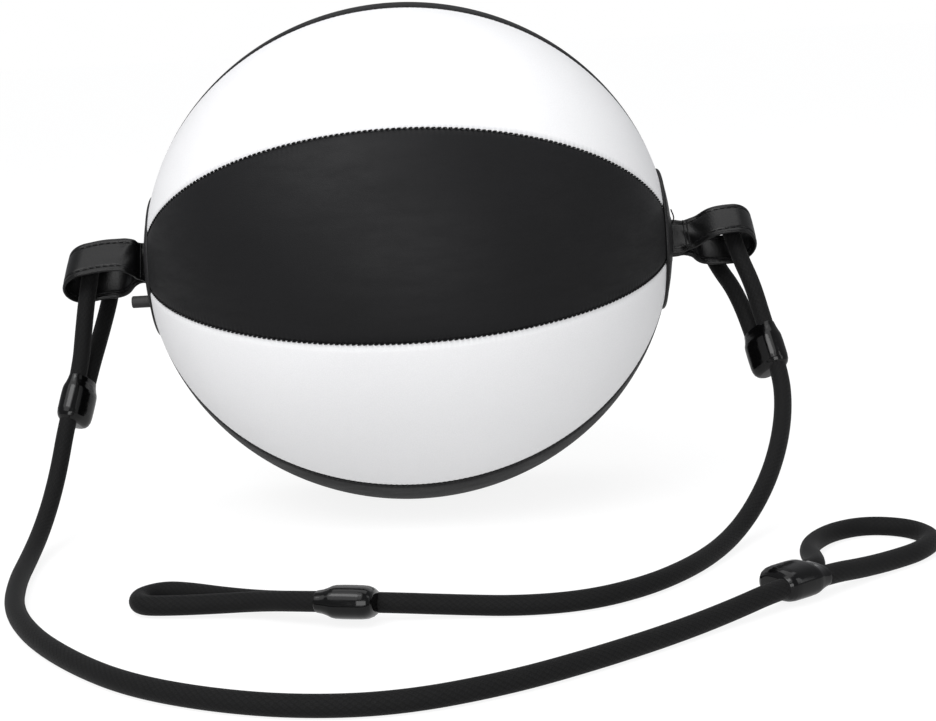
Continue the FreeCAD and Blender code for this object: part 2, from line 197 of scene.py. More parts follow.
class BallColours(bpy.types.PropertyGroup):
    """Colours of the leather, cord and plastic"""
    black: swatch("Black Leather", (0.0048, 0.0048, 0.0055), "Colour of the black panels and caps")
    white: swatch("White Leather", (0.83, 0.83, 0.84), "Colour of the white panels")
    strap: swatch("Strap Leather", (0.0034, 0.0034, 0.0036), "Colour of the strap loops")
    thread: swatch("Thread", (0.005, 0.005, 0.0055), "Colour of the sewing thread")
    cord: swatch("Cord", (0.0046, 0.0046, 0.0048), "Colour of the woven sleeve")
    ferrule: swatch("Ferrule", (0.0015, 0.0015, 0.0016), "Colour of the moulded ferrules")


# ---------------------------------------------------------------- sums

def stacked(*parts):
    """Arrays drawn out to one shape and put together as the coordinates of points."""
    return np.stack(np.broadcast_arrays(*parts), -1)


def unit(vectors):
    """Vectors of the same directions and a length of one."""
    return vectors / np.linalg.norm(vectors, axis=-1, keepdims=True)


def running_length(steps):
    """Length so far at each point, from the length of each step between two."""
    return np.concatenate([[0], np.cumsum(steps)])


def bell(distance, width):
    """Bell curve: e to the power of minus the square of the distance over the width."""
    return np.exp(-(distance / width) ** 2)


def eased(part):
    """Smooth step from nought to one: three times the square less twice the cube."""
    return part * part * (3 - 2 * part)


# ---------------------------------------------------------------- meshes

def mesh_piece(name, points, quads, uv):
    """Puts arrays of points, four-sided faces and UVs into a new smooth mesh. The UV has a row for
    each point, or four for each face. The solid is closed, so the sum of its faces' signed volumes
    tells whether they point outwards, and turns them if not."""
    corner_uv = uv[quads] if uv.ndim == 2 else uv
    corner = points[quads]
    volume = np.einsum("ij,ij->i", corner[:, 0], np.cross(corner[:, 1], corner[:, 2])).sum()
    volume += np.einsum("ij,ij->i", corner[:, 0], np.cross(corner[:, 2], corner[:, 3])).sum()
    if volume < 0:
        quads = quads[:, ::-1]
        corner_uv = corner_uv[:, ::-1]
    mesh = bpy.data.meshes.new(name)
    mesh.vertices.add(len(points))
    mesh.vertices.foreach_set("co", np.ascontiguousarray(points, dtype=np.float32).ravel())
    mesh.loops.add(quads.size)
    mesh.loops.foreach_set("vertex_index", np.ascontiguousarray(quads, dtype=np.int32).ravel())
    mesh.polygons.add(len(quads))
    mesh.polygons.foreach_set("loop_start", np.arange(0, quads.size, 4, dtype=np.int32))
    mesh.polygons.foreach_set("use_smooth", np.ones(len(quads), dtype=bool))
    layer = mesh.uv_layers.new(name="Surface")
    layer.data.foreach_set("uv", np.ascontiguousarray(corner_uv, dtype=np.float32).ravel())
    mesh.update(calc_edges=True)
    piece = bpy.data.objects.new(name, mesh)
    bpy.context.scene.collection.objects.link(piece)
    return piece


def grid_faces(rows, columns, round_rows=False, round_columns=False):
    """Four-sided faces between neighbouring rows and columns of a grid. Round rows or columns also
    join the last to the first."""
    row = np.arange(rows if round_rows else rows - 1)[:, None]
    column = np.arange(columns if round_columns else columns - 1)[None, :]
    next_row = (row + 1) % rows
    next_column = (column + 1) % columns
    faces = [row * columns + column, row * columns + next_column,
             next_row * columns + next_column, next_row * columns + column]
    return stacked(*faces).reshape(-1, 4)


def round_uv(along, columns):
    """UV of a closed tube's faces: the length along it, and the part of a turn round it. The last
    column's faces run on to a whole turn, so that no face goes back over the others."""
    row = np.arange(len(along) - 1)[:, None]
    column = np.arange(columns)[None, :]
    corners = [(row, column), (row, column + 1), (row + 1, column + 1), (row + 1, column)]
    pairs = [stacked(along[places], turns / columns) for places, turns in corners]
    return np.stack(pairs, 2).reshape(-1, 4, 2)


def end_middles(rings):
    """The same rings with a last one at each end, drawn in to its neighbour's middle."""
    first = np.repeat(rings[:1].mean(axis=1, keepdims=True), rings.shape[1], axis=1)
    last = np.repeat(rings[-1:].mean(axis=1, keepdims=True), rings.shape[1], axis=1)
    return np.concatenate([first, rings, last])


def closed_tube(name, rings, uv):
    """Rings of points, each joined round, with both end rings drawn in to their middles."""
    points = end_middles(rings)
    uv = np.concatenate([uv[:1], uv, uv[-1:]])
    faces = grid_faces(*points.shape[:2], round_columns=True)
    return mesh_piece(name, points.reshape(-1, 3), faces, uv.reshape(-1, 2))


def ring_piece(name, sections, uv):
    """Closed sections carried round a closed path: the grid is joined in both directions."""
    faces = grid_faces(*sections.shape[:2], True, True)
    return mesh_piece(name, sections.reshape(-1, 3), faces, uv.reshape(-1, 2))


def scattered(name, stitch, origins, frames):
    """Copies of one small closed tube, stitch, put at each origin and turned by each frame, whose
    rows are the directions of the tube's own X, Y and Z."""
    rows, columns = stitch.shape[:2]
    local = stitch.reshape(-1, 3)
    points = origins[:, None, :] + np.einsum("pk,nkj->npj", local, frames)
    faces = grid_faces(rows, columns, round_columns=True)
    all_faces = faces[None] + (np.arange(len(origins)) * len(local))[:, None, None]
    uv = stacked(np.linspace(0, 1, rows)[:, None], np.linspace(0, 1, columns)).reshape(-1, 2)
    return mesh_piece(name, points.reshape(-1, 3), all_faces.reshape(-1, 4),
                      np.tile(uv, (len(origins), 1)))


def sewn(name, stitch, origins, frames):
    """Scattered stitches in the sewing thread."""
    return paint(scattered(name, stitch, origins, frames), bpy.data.materials["Sewing Thread"])


def thread_stitch(length, radius, sag=0.0, slant=0.0):
    """One stitch along X: a tube whose radius follows a half ellipse towards both ends, so that it
    goes into the leather there, sagging by sag in its middle and slanted in Y."""
    along = np.linspace(-1, 1, 7)[:, None]
    around = np.linspace(0, 2 * np.pi, 6, endpoint=False)[None, :]
    thick = radius * np.sqrt(np.clip(1 - along ** 4, 0, 1)) + 1e-6
    return stacked(along * length / 2, thick * np.cos(around) + along * slant,
                   thick * np.sin(around) - sag * bell(along, 0.55))


# ---------------------------------------------------------------- materials

def set_inputs(tree, node, inputs):
    """Links a node's inputs to the sockets given, and sets them to the values given."""
    for name, value in dict(inputs).items():
        if isinstance(value, bpy.types.NodeSocket):
            tree.links.new(value, node.inputs[name])
        else:
            node.inputs[name].default_value = value


def add_node(tree, kind, inputs=(), **settings):
    """Adds a node, sets its own settings, and sets or links its inputs."""
    node = tree.nodes.new(kind)
    for name, value in settings.items():
        setattr(node, name, value)
    set_inputs(tree, node, inputs)
    return node


def math_node(tree, operation, *values):
    """Result of a sum on sockets or values."""
    return add_node(tree, "ShaderNodeMath", enumerate(values), operation=operation).outputs[0]


def times(tree, first, second):
    return math_node(tree, "MULTIPLY", first, second)


def sine(tree, value, rate):
    """Sine of a value times a rate."""
    return math_node(tree, "SINE", times(tree, value, rate))


def spread(tree, value, low, high, to_low=0.0, to_high=1.0):
    """Value mapped from low..high to to_low..to_high, and held at both ends."""
    return add_node(tree, "ShaderNodeMapRange", {"Value": value, "From Min": low, "From Max": high,
                                                 "To Min": to_low, "To Max": to_high}).outputs[0]


def blend_colours(tree, amount, first, second):
    """Colour mix of two colours by a mask."""
    mix = add_node(tree, "ShaderNodeMix", data_type="RGBA")
    colour_inputs = [index for index, socket in enumerate(mix.inputs) if socket.type == "RGBA"]
    set_inputs(tree, mix, zip([0] + colour_inputs, (amount, first, second)))
    return [socket for socket in mix.outputs if socket.type == "RGBA"][0]


def noise(tree, place, scale, detail, roughness=0.5):
    """Outputs of a noise texture."""
    return add_node(tree, "ShaderNodeTexNoise", {"Vector": place, "Scale": scale, "Detail": detail,
                                                 "Roughness": roughness}).outputs


def bump(tree, height, strength, distance, **inputs):
    """Normal that a height gives, with any other inputs of the bump node."""
    return add_node(tree, "ShaderNodeBump", {"Height": height, "Strength": strength,
                                             "Distance": distance, **inputs}).outputs[0]


def object_place(tree):
    return add_node(tree, "ShaderNodeTexCoord").outputs["Object"]


def parts_of(tree, vector):
    """The three numbers of a vector."""
    return add_node(tree, "ShaderNodeSeparateXYZ", {0: vector}).outputs


def surface_parts(tree):
    """The two numbers of the piece's own UV, and a nought."""
    return parts_of(tree, add_node(tree, "ShaderNodeUVMap", uv_map="Surface").outputs[0])


def shared_group(name, inputs, outputs):
    """New shader group with named number inputs, and outputs given by name and socket type. Gives
    its tree, its inputs as sockets and its output node."""
    tree = bpy.data.node_groups.new(name, "ShaderNodeTree")
    for label, default in inputs.items():
        socket = tree.interface.new_socket(name=label, in_out="INPUT", socket_type="NodeSocketFloat")
        socket.default_value = default
    for label, kind in outputs.items():
        tree.interface.new_socket(name=label, in_out="OUTPUT", socket_type="NodeSocket" + kind)
    return tree, tree.nodes.new("NodeGroupInput").outputs, tree.nodes.new("NodeGroupOutput")


def leather_grain_group():
    """Leather's surface: small rounded pebbles parted by creases, finer pores on them and a slow
    change from place to place. Gives a normal, a cloudy mask and a crease mask."""
    tree, given, out = shared_group(
        "Leather Grain", {"Pebble Scale": 900.0, "Depth": 0.3, "Cloud Scale": 14.0},
        {"Normal": "Vector", "Cloud": "Float", "Crease": "Float"})
    place = object_place(tree)
    warp = noise(tree, place, 260.0, 3.0)["Color"]
    shift = add_node(tree, "ShaderNodeVectorMath", {0: warp, 1: (0.0012, 0.0012, 0.0012)},
                     operation="MULTIPLY").outputs[0]
    moved = add_node(tree, "ShaderNodeVectorMath", {0: place, 1: shift}, operation="ADD").outputs[0]
    pebbles = add_node(tree, "ShaderNodeTexVoronoi", {"Vector": moved, "Scale": given["Pebble Scale"]},
                       feature="DISTANCE_TO_EDGE")
    domes = spread(tree, pebbles.outputs["Distance"], 0.0, 0.28)
    pores = noise(tree, place, 2600.0, 2.0)[0]
    height = math_node(tree, "ADD", domes, times(tree, pores, 0.5))
    cloud = noise(tree, place, given["Cloud Scale"], 4.0, 0.55)[0]
    set_inputs(tree, out, {"Normal": bump(tree, height, given["Depth"], 0.0002),
                           "Cloud": spread(tree, cloud, 0.35, 0.65),
                           "Crease": math_node(tree, "SUBTRACT", 1.0, domes)})


def braid_group():
    """Braided sleeve on a tube whose UV runs along it in metres and once round it. Two families of
    yarns cross on slanting lines: each yarn is a rounded ridge, and where two meet, the ridge whose
    wave is higher lies on top. Gives a height, a mask of the gaps, and a mask of the upper yarns."""
    tree, given, out = shared_group("Braided Sleeve", {"Yarns Round": 24.0, "Yarns Along": 760.0},
                                    {"Height": "Float", "Gap": "Float", "Upper": "Float"})
    length, turn, _ = surface_parts(tree)
    along = times(tree, length, given["Yarns Along"])
    around = times(tree, turn, given["Yarns Round"])
    over = times(tree, sine(tree, along, math.pi), sine(tree, around, math.pi))
    upper = spread(tree, over, -0.25, 0.25)
    lower = math_node(tree, "SUBTRACT", 1.0, upper)
    yarns = []
    for way, on_top in (("ADD", upper), ("SUBTRACT", lower)):
        ridge = math_node(tree, "ABSOLUTE", sine(tree, math_node(tree, way, along, around), math.pi))
        yarns.append(times(tree, ridge, math_node(tree, "ADD", 0.45, times(tree, on_top, 0.55))))
    height = math_node(tree, "MAXIMUM", *yarns)
    set_inputs(tree, out, {"Height": height, "Gap": spread(tree, height, 0.55, 0.2), "Upper": upper})


def twist_group():
    """Plies of a thread, as slanting ridges over a stitch's own UV. Gives a height."""
    tree, given, out = shared_group("Twisted Plies", {"Plies": 5.0}, {"Height": "Float"})
    length, turn, _ = surface_parts(tree)
    slanted = math_node(tree, "ADD", times(tree, length, given["Plies"]), turn)
    set_inputs(tree, out, {"Height": spread(tree, sine(tree, slanted, 2 * math.pi), -1.0, 1.0)})


def handling_group():
    """Fine scuffs and finger marks: stretched noise that changes how rough a smooth surface is."""
    tree, given, out = shared_group("Handling Marks", {"Scale": 60.0}, {"Scuff": "Float", "Dust": "Float"})
    place = object_place(tree)
    stretched = add_node(tree, "ShaderNodeMapping", {"Vector": place, "Scale": (1.0, 1.0, 4.0),
                                                     "Rotation": (0.4, 0.7, 0.2)}).outputs[0]
    scuff = noise(tree, stretched, given["Scale"], 6.0, 0.7)[0]
    dust = noise(tree, place, 900.0, 3.0)[0]
    set_inputs(tree, out, {"Scuff": spread(tree, scuff, 0.4, 0.7), "Dust": spread(tree, dust, 0.62, 0.75)})


def group_node(tree, group, inputs=()):
    """Outputs of a shared group."""
    return add_node(tree, "ShaderNodeGroup", inputs, node_tree=bpy.data.node_groups[group]).outputs


def new_material(name):
    """Material with one Principled shader, its tree and that shader."""
    material = bpy.data.materials.new(name)
    material.use_nodes = True
    tree = material.node_tree
    tree.nodes.clear()
    shader = tree.nodes.new("ShaderNodeBsdfPrincipled")
    add_node(tree, "ShaderNodeOutputMaterial", {0: shader.outputs[0]})
    return material, tree, shader


def shaded(colour, factor):
    """Colour made darker or lighter by a factor, with a full alpha."""
    return tuple(min(1.0, part * factor) for part in colour) + (1.0,)


def leather_material(name, colour, roughness, pebble, depth, change=0.25, specular=0.5, seams=False):
    """Leather in one colour: lighter and darker clouds, painted shade in the creases of its grain, and
    near seams, where its UV gives the distance from the seam, painted shade along the seam's fold
    and the small puckers between stitches."""
    material, tree, shader = new_material(name)
    grain = group_node(tree, "Leather Grain", {"Pebble Scale": pebble, "Depth": depth})
    tone = blend_colours(tree, grain["Cloud"], shaded(colour, 1 - change), shaded(colour, 1 + change))
    # Painted shade: the grain's creases are darkened, more strongly where the grain is deeper.
    crease = times(tree, grain["Crease"], 0.35 * min(1.0, depth * 4))
    tone = blend_colours(tree, crease, tone, shaded(colour, 0.55))
    normal = grain["Normal"]
    if seams:
        length, distance, _ = surface_parts(tree)
        # Painted shade: the leather darkens within about two millimetres of each seam, along its fold.
        near = spread(tree, distance, 0.0, 0.0022, 1.0, 0.0)
        tone = blend_colours(tree, times(tree, near, 0.35), tone, shaded(colour, 0.5))
        wave = sine(tree, length, 2 * math.pi / bpy.context.scene.ball_sizes.stitch_pitch)
        pucker = times(tree, wave, spread(tree, distance, 0.0, 0.004, 1.0, 0.0))
        normal = bump(tree, pucker, 0.18, 0.0002, Normal=normal)
    scuff = group_node(tree, "Handling Marks", {"Scale": 45.0})["Scuff"]
    rough = math_node(tree, "ADD", roughness - 0.06, times(tree, scuff, 0.12))
    set_inputs(tree, shader, {"Base Color": tone, "Roughness": rough, "Normal": normal,
                              "Specular IOR Level": specular})
    return material


def thread_material(colour):
    """Sewing thread, with painted light on the ridges of its plies and painted shade between them."""
    material, tree, shader = new_material("Sewing Thread")
    height = group_node(tree, "Twisted Plies")["Height"]
    # Painted light and shade: lighter on the ply ridges, darker in the grooves between them.
    tone = blend_colours(tree, height, shaded(colour, 0.6), shaded(colour, 1.5))
    set_inputs(tree, shader, {"Base Color": tone, "Normal": bump(tree, height, 0.5, 0.0001),
                              "Roughness": 0.5, "Specular IOR Level": 0.2})
    return material


def cord_material(colour):
    """Woven sleeve: dull yarns with painted light on the upper yarns, painted shade on the lower
    ones, and darker painted shade in the gaps between them.
    """
    material, tree, shader = new_material("Woven Cord Sleeve")
    braid = group_node(tree, "Braided Sleeve")
    dust = group_node(tree, "Handling Marks", {"Scale": 30.0})["Dust"]
    # Painted light and shade: upper yarns lighter, lower yarns darker.
    tone = blend_colours(tree, braid["Upper"], shaded(colour, 0.8), shaded(colour, 1.3))
    # Painted shade in the gaps between the yarns.
    tone = blend_colours(tree, times(tree, braid["Gap"], 0.6), tone, shaded(colour, 0.25))
    tone = blend_colours(tree, times(tree, dust, 0.35), tone, shaded(colour, 3.0))
    set_inputs(tree, shader, {"Base Color": tone, "Normal": bump(tree, braid["Height"], 0.45, 0.0002),
                              "Roughness": 0.75, "Specular IOR Level": 0.16, "Sheen Weight": 0.05,
                              "Sheen Roughness": 0.4})
    return material


def plastic_material(name, colour, roughness):
    """Moulded plastic with faint flow marks and handling scuffs."""
    material, tree, shader = new_material(name)
    marks = group_node(tree, "Handling Marks", {"Scale": 120.0})
    tone = blend_colours(tree, times(tree, marks["Dust"], 0.25), shaded(colour, 1.0), shaded(colour, 4.0))
    rough = math_node(tree, "ADD", roughness, times(tree, marks["Scuff"], 0.14))
    flow = noise(tree, object_place(tree), 150.0, 1.0)[0]
    set_inputs(tree, shader, {"Base Color": tone, "Roughness": rough,
                              "Normal": bump(tree, flow, 0.12, 0.0006), "Specular IOR Level": 0.3})
    return material


def rubber_material(name, colour):
    """Dull rubber with a fine bloom."""
    material, tree, shader = new_material(name)
    scuff = group_node(tree, "Handling Marks", {"Scale": 80.0})["Scuff"]
    tone = blend_colours(tree, scuff, shaded(colour, 0.8), shaded(colour, 1.5))
    fine = noise(tree, object_place(tree), 1800.0, 2.0)[0]
    set_inputs(tree, shader, {"Base Color": tone, "Normal": bump(tree, fine, 0.2, 0.0001),
                              "Roughness": 0.6})
    return material


def cloth_material(name, colour):
    """Plain woven lining: two crossed waves of yarns on object coordinates."""
    material, tree, shader = new_material(name)
    part = parts_of(tree, object_place(tree))
    yarns = [sine(tree, part[axis], 2 * math.pi / 0.0009) for axis in (0, 1)]
    height = spread(tree, times(tree, *yarns), -1.0, 1.0)
    # Painted shade: darker in the hollows between the yarns, lighter on their tops.
    tone = blend_colours(tree, height, shaded(colour, 0.8), shaded(colour, 1.1))
    set_inputs(tree, shader, {"Base Color": tone, "Normal": bump(tree, height, 0.4, 0.0002),
                              "Roughness": 0.9})
    return material


def paint(piece, material):
    """Gives a piece one material in all its slots."""
    materials = piece.data.materials
    if not materials:
        materials.append(material)
    for index in range(len(materials)):
        materials[index] = material
    return piece


def settings():
    """Sizes of the ball, straps and cords, and the colours."""
    scene = bpy.context.scene
    return scene.ball_sizes, scene.strap_sizes, scene.cord_sizes, scene.ball_colours


def centre_height():
    """Height of the ball's centre over the floor."""
    return bpy.context.scene.ball_sizes.radius


# ---------------------------------------------------------------- the ball

def meridian(sizes, start_radius, count):
    """The ball's outline from the +X pole to the -X pole, between the two points start_radius from
    the axis: x = A cos a and r = B sin a. Gives x, r, both parts of the outward normal, and the
    length so far."""
    start = math.asin(start_radius / sizes.radius)
    angle = np.linspace(start, math.pi - start, count)
    x = sizes.half_length * np.cos(angle)
    r = sizes.radius * np.sin(angle)
    normal = np.stack([np.cos(angle) / sizes.half_length, np.sin(angle) / sizes.radius])
    normal /= np.linalg.norm(normal, axis=0)
    length = running_length(np.hypot(np.diff(x), np.diff(r)))
    return x, r, normal[0], normal[1], length


def on_axis(x, r, turn):
    """Point at x along the polar axis and r from it. A turn of zero faces the front, and it rises."""
    return stacked(x, -r * np.cos(turn), centre_height() + r * np.sin(turn))


def seam_dip(distance, sizes):
    """How far leather lies under the ball's surface at a distance from a seam: a soft fold."""
    return sizes.seam_depth * bell(distance, 0.0010)


def stitch_frames(along, outward):
    """Frames of stitches that lie along one direction on a surface that faces outward."""
    return np.stack([along, np.cross(outward, along), outward], 1)


def build_panels(context):
    """Eight gores. Across a gore the turn goes from one seam to the other, held back half a groove,
    and the leather dips towards each seam by a bell curve of the distance from it. Along the seam
    small waves a stitch apart fade out within two millimetres."""
    sizes, _, _, colours = settings()
    black = leather_material("Black Panel Leather", colours.black, roughness=0.6, pebble=1500.0,
                             depth=0.10, change=0.18, specular=0.20, seams=True)
    white = leather_material("White Panel Leather", colours.white, roughness=0.5, pebble=1500.0,
                             depth=0.07, change=0.012, specular=0.4, seams=True)
    rows, face_columns, back_columns = 900, 33, 7
    half_gap = 0.00025
    pucker = 0.00009
    x, r, nx, nr, length = (part[:, None] for part in meridian(sizes, sizes.hole, rows))
    across = np.sin(np.linspace(-1, 1, face_columns) * math.pi / 2)
    side = np.concatenate([across, np.linspace(1, -1, back_columns)])[None, :]
    inner = np.concatenate([np.zeros(face_columns), np.ones(back_columns)])[None, :]
    half = math.pi / len(PANELS)
    edge = half - half_gap / r
    distance = (1 - np.abs(side)) * edge * r
    wave = pucker * np.exp(-distance / 0.0012) * np.cos(2 * math.pi * length / sizes.stitch_pitch)
    depth = seam_dip(distance, sizes) + wave + inner * sizes.leather * 0.9
    uv = stacked(length, distance)
    for number, node in enumerate(PANELS):
        turn = sizes.tilt + number * 2 * half + side * edge
        rings = on_axis(x - nx * depth, r - nr * depth, turn)
        panel = closed_tube(node + "_leather", rings, uv)
        paint(panel, white if node.endswith("white") else black)
        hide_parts(node)
        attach(panel, "ball")


def build_seam_stitches(context):
    """Thread along each seam: one short, slightly slanted stitch every pitch, in the fold between two
    panels."""
    sizes, _, _, _ = settings()
    sunk = 0.0003
    under_cap = 0.0005
    x, r, nx, nr, length = meridian(sizes, sizes.cap - under_cap, 4000)
    count = int(length[-1] / sizes.stitch_pitch)
    places = (np.arange(count) + 0.5) * length[-1] / count
    x, r, nx, nr = (np.interp(places, length, part) for part in (x, r, nx, nr))
    origins = []
    frames = []
    for seam in range(len(PANELS)):
        turn = sizes.tilt + (seam + 0.5) * 2 * math.pi / len(PANELS)
        outward = np.stack([nx, -nr * math.cos(turn), nr * math.sin(turn)], -1)
        along = np.cross(outward, [0.0, math.sin(turn), math.cos(turn)])
        origins.append(on_axis(x - nx * sunk, r - nr * sunk, turn))
        frames.append(stitch_frames(along, outward))
    stitch = thread_stitch(0.00165, 0.00034, slant=0.0001)
    stitches = sewn("seam_stitches", stitch, np.concatenate(origins), np.concatenate(frames))
    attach(stitches, "ball")


def pole_height(sizes, r):
    """Height of the ball's surface over its centre along the polar axis, at r from that axis."""
    return sizes.half_length * np.sqrt(1 - (r / sizes.radius) ** 2)


def cap_profile(sizes, stand):
    """Section of a pole cap, as distance from the axis and height over the ball's centre: out from a
    rolled lip at the hole, over leather of even thickness with a sewn groove near the rim, round the
    rim, which stands up a little, and back underneath."""
    lip, rim = 0.0011, 0.0009
    reach = np.linspace(0, 1, 60) ** 0.9
    r = sizes.hole + lip + (sizes.cap - lip - sizes.hole - rim) * reach
    rise = stand + 0.0003 * np.exp(-(sizes.cap - r) / 0.0025)
    groove = CAP_GROOVE * bell(r - sizes.cap + CAP_SEAM, 0.0006)
    top = pole_height(sizes, r) + rise - groove
    lip_turn = np.linspace(math.pi, 0.35 * math.pi, 9)
    lip_r = sizes.hole + lip + lip * np.cos(lip_turn)
    lip_x = top[0] - lip + 0.0014 * np.sin(lip_turn)
    rim_turn = np.linspace(0.42 * math.pi, -0.25 * math.pi, 8)
    rim_r = sizes.cap - rim + rim * np.cos(rim_turn)
    rim_x = top[-1] - rim + rim * np.sin(rim_turn)
    under_r = np.linspace(sizes.cap - 0.0006, sizes.hole + 0.0004, 14)
    under_x = pole_height(sizes, under_r) + 0.00005
    return np.concatenate([lip_r, r[2:], rim_r, under_r]), np.concatenate([lip_x, top[2:], rim_x, under_x])


def build_caps(context):
    """Pole caps: the section turned about the polar axis, with shallow puckers round the hole, and a
    ring of stitches in the groove near the rim."""
    sizes, _, _, colours = settings()
    leather = leather_material("Cap Leather", shaded(colours.black, 0.9)[:3], roughness=0.5,
                               pebble=1100.0, depth=0.16, specular=0.3)
    turn = np.linspace(0, 2 * math.pi, 144, endpoint=False)[:, None]
    ring = sizes.cap - CAP_SEAM
    spots = np.arange(CAP_STITCHES) * 2 * math.pi / CAP_STITCHES
    centre = [0, 0, centre_height()]
    along = on_axis(0.0, 1.0, spots + math.pi / 2) - centre
    for side, sign, stand in (("left", -1, sizes.left_rise), ("right", 1, sizes.right_rise)):
        r, x = cap_profile(sizes, stand)
        pucker = 0.00012 * np.exp(-(r - sizes.hole) / 0.004) * np.cos(13 * turn + 1.3 * np.sin(3 * turn))
        uv = stacked(turn * sizes.cap, r)
        cap = ring_piece(side + "_cap_leather", on_axis(sign * (x + pucker), r, turn), uv)
        paint(cap, leather)
        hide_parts(side + "_pole_cap")
        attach(cap, "ball")
        origins = on_axis(sign * (pole_height(sizes, ring) + stand - CAP_GROOVE), ring, spots)
        frames = stitch_frames(along, on_axis(sign * 0.97, 0.25, spots) - centre)
        stitches = sewn(side + "_cap_stitches", thread_stitch(0.0024, 0.0003, sag=-0.0001), origins, frames)
        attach(stitches, "ball")


# ---------------------------------------------------------------- straps

class Loop:
    """One strap loop: its leather's middle line in the loop's own plane, and its turn on the ball."""
    twist_start = 0.0022
    swing_length = 0.014
    edge_wave = 0.00035
    fold_depth = 0.00022

    def __init__(self, sizes, side):
        self.side = side
        self.sign = -1 if side == "left" else 1
        self.width = sizes.width
        self.leather = sizes.leather
        for name in ("neck", "wall", "rear", "kick", "slant", "tilt", "neck_tilt", "droop", "lift"):
            setattr(self, name, getattr(sizes, side + "_" + name))
        self.reach = STRAP_END[side] + getattr(sizes, side + "_slack")
        self.path = strap_path(sizes, self.reach, self.neck, self.wall, self.rear)
        step = np.gradient(self.path, axis=1)
        step /= np.linalg.norm(step, axis=0)
        self.normal = np.stack([-step[1], step[0]])
        self.length = running_length(np.linalg.norm(np.diff(self.path, axis=1), axis=0))

    def turn(self, x):
        """Turn about the polar axis: the neck leaves the ball less turned, and the leather twists
        smoothly into the loop's own turn before its sides run straight."""
        start = self.neck - self.twist_start
        part = np.clip((x - start) / (0.8 * (self.rear - start)), 0, 1)
        return self.neck_tilt + (self.tilt - self.neck_tilt) * eased(part)

    def place(self, x, c, w):
        """Point of the loop, x along the polar axis, c from the loop's middle plane and w along its
        width. The neck rides up by a bell curve, the loop swings to its front beyond the neck, its
        upper edge falls short at the end, and the end slides down along the width."""
        out = np.clip((x - LOOP_START) / (self.reach - LOOP_START), 0, 1)
        c = c + self.kick * eased(np.clip((x - self.neck) / self.swing_length, 0, 1))
        tilt = self.turn(x)
        x = x - self.slant * out * (0.5 + w / self.width)
        w = w - self.droop * out ** 1.5 + self.lift * bell(x - self.neck - self.twist_start, 0.0042)
        y = w * np.sin(tilt) - c * np.cos(tilt)
        z = w * np.cos(tilt) + c * np.sin(tilt)
        return stacked(self.sign * x, y, centre_height() + z)

    def surface(self, w, t):
        """Grid of points of the strip: the path moved by t along its normal and by w across. The
        strip narrows where it is gathered at the neck, slanting sine folds run over it there, and its
        edges wave a little."""
        x, c = (self.path[axis][:, None] + self.normal[axis][:, None] * t for axis in (0, 1))
        phase = 1.0 if self.side == "left" else 2.3
        free = np.clip((x - LOOP_START) / 0.01, 0, 1)
        edge_wave = self.edge_wave * np.sin(9 * x / 0.035 + phase) * free
        gathered = 1 - 0.05 * bell(x - self.neck - 0.0035, 0.003)
        near_neck = bell(x - self.neck - 0.004, 0.0045)
        fold = self.fold_depth * near_neck * np.sin(5.5 * w / 0.0087 + 900 * x + phase)
        return self.place(x, c + fold * np.sign(c), w * gathered + edge_wave)


def strap_path(sizes, reach, neck, front, rear):
    """Middle line of a strap's leather, x along the polar axis and c across the loop: along the
    upper ply of the neck, out by an S of two equal arcs, along the front wall, round the half circle
    at the end, and back along the rear wall in the same way."""
    half_leather = sizes.leather / 2
    rise = sizes.half_depth - sizes.leather
    end = reach - sizes.half_depth
    round_radius = sizes.half_depth - half_leather
    plies = []
    for wall in (front, rear):
        angle = 2 * math.atan2(rise, wall - neck)
        radius = (wall - neck) / 2 / math.sin(angle)
        turn = np.linspace(0, angle, 26)
        back = turn[::-1]
        neck_line = np.stack([np.linspace(STRAP_ROOT, neck, 12), np.full(12, half_leather)])
        first = np.stack([neck + radius * np.sin(turn), half_leather + radius * (1 - np.cos(turn))])
        second = np.stack([wall - radius * np.sin(back), half_leather + rise - radius * (1 - np.cos(back))])
        wall_line = np.stack([np.linspace(wall, end, 14), np.full(14, round_radius)])
        plies.append(np.concatenate([neck_line, first[:, 1:], second[:, 1:], wall_line[:, 1:]], axis=1))
    around = np.linspace(math.pi / 2, -math.pi / 2, 61)
    bend = np.stack([end + round_radius * np.cos(around), round_radius * np.sin(around)])
    return np.concatenate([plies[0], bend[:, 1:-1], plies[1][:, ::-1] * [[1], [-1]]], axis=1)


def strap_section(sizes):
    """Section of the strip, as places across its width and through its leather: two long faces with a
    sewn groove inside each rolled edge, a low crown between them, and rounded edges."""
    half_width, half_leather = sizes.width / 2, sizes.leather / 2
    across = (half_width - STRAP_EDGE) * np.sin(np.linspace(-1, 1, 71) * math.pi / 2)
    seam = half_width - STRAP_SEAM
    groove = 0.00038 * (bell(across - seam, 0.00045) + bell(across + seam, 0.00045))
    crown = 0.00016
    top = half_leather - groove - crown * (across / half_width) ** 2
    corner = np.linspace(math.pi / 2, -math.pi / 2, 11)[1:-1]
    right_w = half_width - STRAP_EDGE + STRAP_EDGE * np.cos(corner)
    right_t = (half_leather - crown) * np.sin(corner)
    w = np.concatenate([across, right_w, across[::-1], -right_w])
    t = np.concatenate([top, right_t, -top[::-1], -right_t[::-1]])
    return w, t


